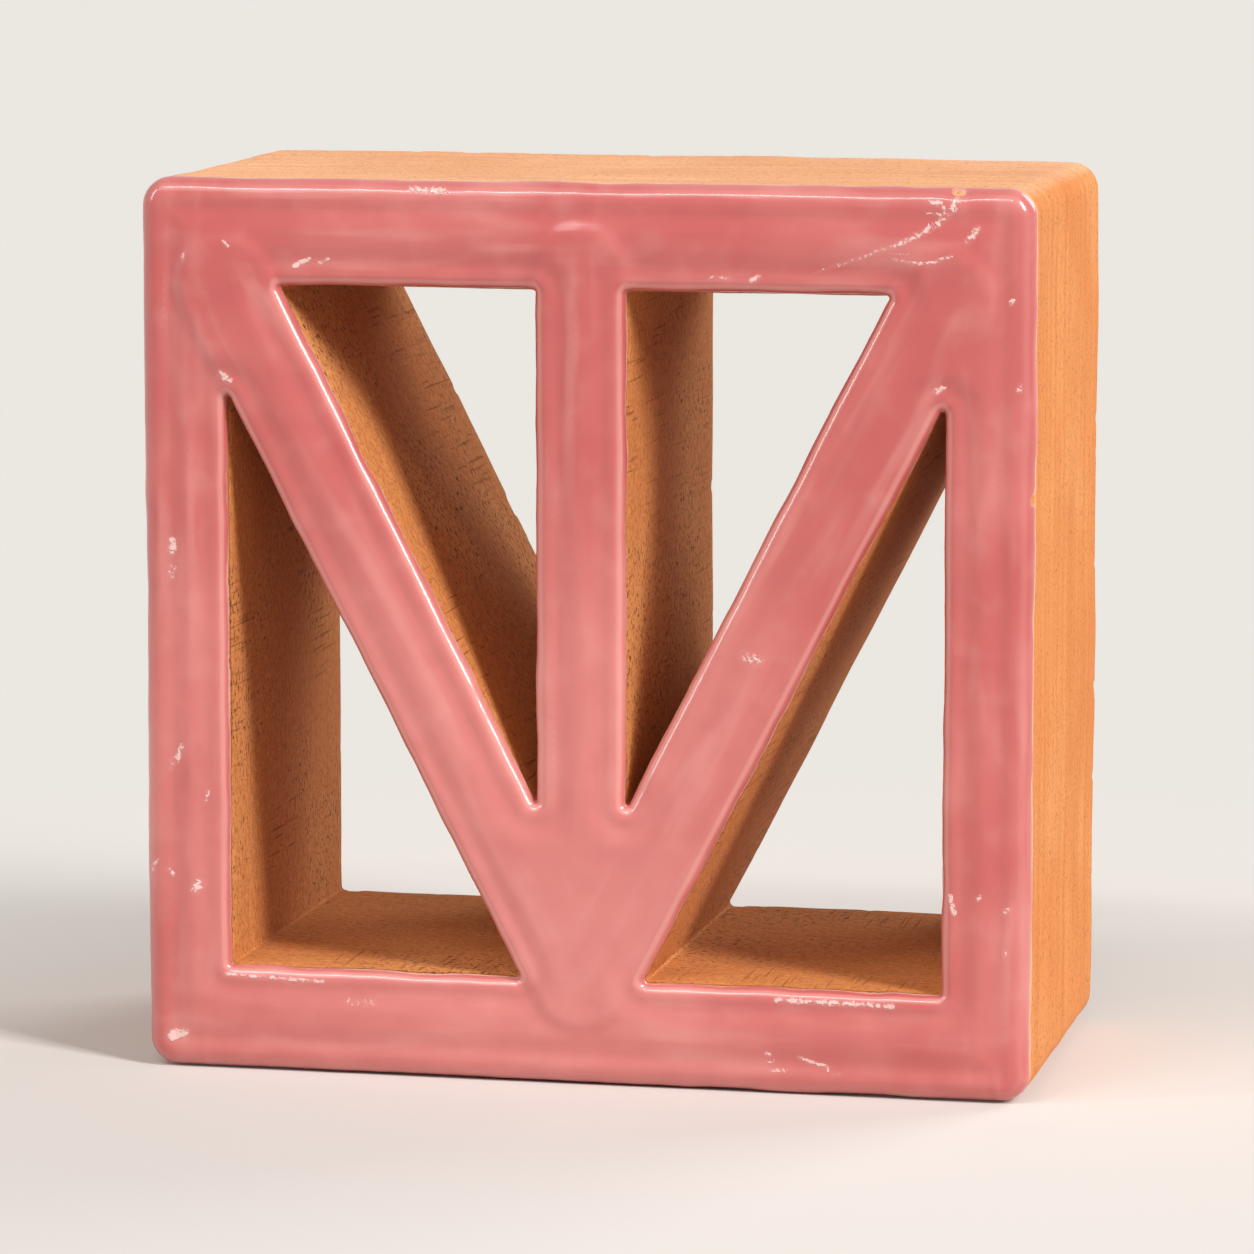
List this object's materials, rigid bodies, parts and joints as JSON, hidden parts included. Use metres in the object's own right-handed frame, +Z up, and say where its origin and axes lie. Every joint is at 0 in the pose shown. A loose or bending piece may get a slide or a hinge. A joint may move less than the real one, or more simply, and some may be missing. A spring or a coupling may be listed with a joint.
{
  "type": "glazed terracotta screen block",
  "caption": "Square pierced screen block of fired clay with a fan of bars between triangular openings and a glazed front face, laid in walls to screen light and air.",
  "frame": {"origin": "middle of the underside, the bed face that the block stands on", "axes": "+Z up, +X across the face to the right as seen from the front, the glazed face towards -Y"},
  "size_m": [0.2, 0.1, 0.2],
  "materials": {
    "glazed_terracotta": "gloss"
  },
  "bodies": {
    "root": {"screen_block": "glazed_terracotta"}
  },
  "joints": []
}
